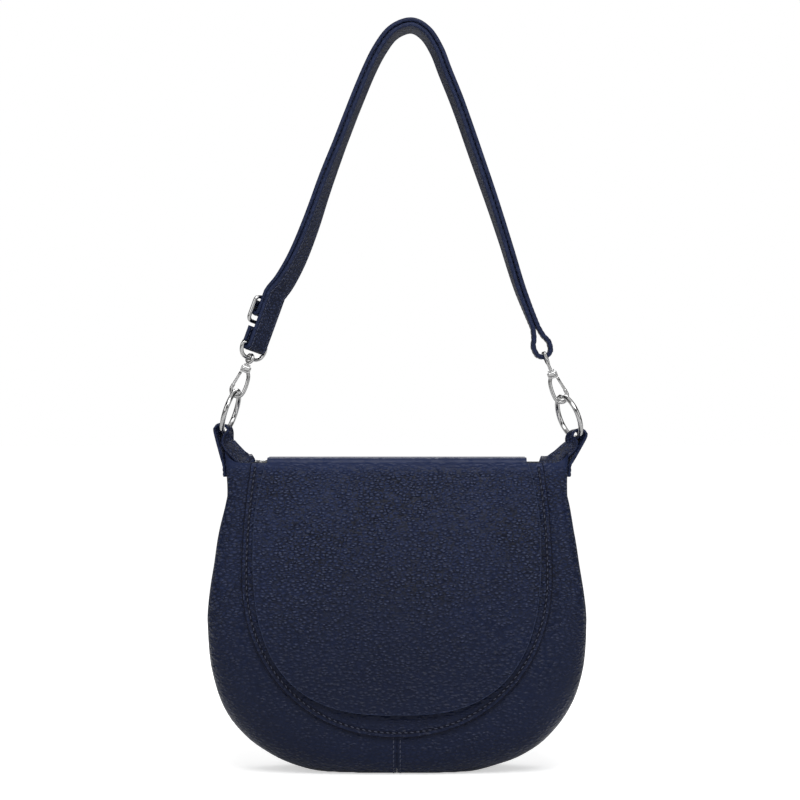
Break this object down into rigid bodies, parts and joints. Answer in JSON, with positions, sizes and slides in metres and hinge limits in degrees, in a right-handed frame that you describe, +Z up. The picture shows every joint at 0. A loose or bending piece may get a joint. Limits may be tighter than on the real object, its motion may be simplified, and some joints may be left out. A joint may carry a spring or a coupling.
{
  "type": "crossbody bag",
  "caption": "Saddle-shaped leather crossbody bag with a long front flap, zipped mouth and a doubled strap on snap hooks.",
  "frame": {"origin": "middle of the bag's box on the surface it stands on", "axes": "+Z up, -Y towards the front flap, +X to the right as seen from the front"},
  "size_m": [0.3107, 0.1009, 0.6157],
  "materials": {
    "navy_leather": "pebbled, soft sheen",
    "strap_leather": "fine grain, painted edges",
    "base_board": "matte",
    "lining_cloth": "woven twill",
    "zip_tape": "woven tape",
    "snap_metal": "polished",
    "zip_metal": "polished",
    "chrome": "polished"
  },
  "bodies": {
    "shell": {"front_panel": "navy_leather", "back_panel": "navy_leather", "gusset_left": "navy_leather", "gusset_right": "navy_leather", "base_board": "base_board", "lining": "lining_cloth", "zip_tape_front": "zip_tape", "zip_tape_back": "zip_tape", "zip_end_left": "zip_tape", "zip_end_right": "zip_tape", "snap_socket": "snap_metal", "ring_tab_left": "strap_leather", "ring_tab_right": "strap_leather"},
    "flap": {"flap": "navy_leather", "snap_stud": "snap_metal"},
    "slider": {"zip_slider": "zip_metal"},
    "puller": {"zip_puller": "zip_metal"},
    "zip_half_front": {"zip_teeth_front": "zip_metal"},
    "zip_half_back": {"zip_teeth_back": "zip_metal"},
    "strap": {"strap": "strap_leather", "d_ring": "chrome", "buckle_frame": "chrome", "buckle_bar": "chrome", "hook_eye_left": "chrome", "hook_eye_right": "chrome"},
    "ring_left": {"ring_left": "chrome"},
    "ring_right": {"ring_right": "chrome"},
    "hook_left": {"hook_left": "chrome"},
    "hook_right": {"hook_right": "chrome"},
    "gate_left": {"gate_left": "chrome"},
    "gate_right": {"gate_right": "chrome"}
  },
  "joints": [
    {"name": "flap_hinge", "type": "hinge", "parent": "shell", "child": "flap", "pos_m": [0, 0.013, 0.2541], "axis": [-1, 0, 0], "range_deg": [0, 130]},
    {"name": "strap_swing", "type": "hinge", "parent": "shell", "child": "strap", "pos_m": [0, 0, 0.266], "axis": [1, 0, 0], "range_deg": [-80, 80], "deforming": ["ring_tab_left", "ring_tab_right"]},
    {"name": "ring_left_turn", "type": "hinge", "parent": "strap", "child": "ring_left", "pos_m": [-0.1363, 0, 0.2917], "axis": [0.9366, -0.1736, -0.3043], "continuous": true},
    {"name": "ring_right_turn", "type": "hinge", "parent": "strap", "child": "ring_right", "pos_m": [0.1409, 0, 0.2873], "axis": [0.8716, 0.3584, 0.3346], "continuous": true},
    {"name": "hook_left_swivel", "type": "hinge", "parent": "strap", "child": "hook_left", "pos_m": [-0.12385, 0, 0.32644], "axis": [0.3639, 0, 0.9314], "range_deg": [-20, 20]},
    {"name": "hook_right_swivel", "type": "hinge", "parent": "strap", "child": "hook_right", "pos_m": [0.12745, 0, 0.32168], "axis": [-0.3702, 0, 0.929], "range_deg": [-20, 20]},
    {"name": "gate_left_open", "type": "hinge", "parent": "hook_left", "child": "gate_left", "pos_m": [-0.12762, 0, 0.32466], "axis": [0, -1, 0], "range_deg": [0, 20], "stiffness_Nm_per_rad": 0.004, "springref_deg": -11.46},
    {"name": "gate_right_open", "type": "hinge", "parent": "hook_right", "child": "gate_right", "pos_m": [0.13123, 0, 0.31992], "axis": [0, 1, 0], "range_deg": [0, 20], "stiffness_Nm_per_rad": 0.004, "springref_deg": -11.46},
    {"name": "zip_slide", "type": "slide", "parent": "shell", "child": "slider", "axis": [1, 0, 0], "range_m": [0, 0.205]},
    {"name": "zip_close_front", "type": "slide", "parent": "shell", "child": "zip_half_front", "axis": [0, 1, 0], "range_m": [0, 0.00785], "deforming": ["zip_tape_front"]},
    {"name": "zip_close_back", "type": "slide", "parent": "shell", "child": "zip_half_back", "axis": [0, -1, 0], "range_m": [0, 0.00785], "deforming": ["zip_tape_back"]},
    {"name": "puller_swing", "type": "hinge", "parent": "slider", "child": "puller", "pos_m": [-0.1147, 0, 0.2517], "axis": [0, -1, 0], "range_deg": [0, 90]}
  ],
  "couplings": [
    {"joint": "zip_close_front", "follows": "zip_slide", "ratio": 0.038273},
    {"joint": "zip_close_back", "follows": "zip_slide", "ratio": 0.038273}
  ]
}
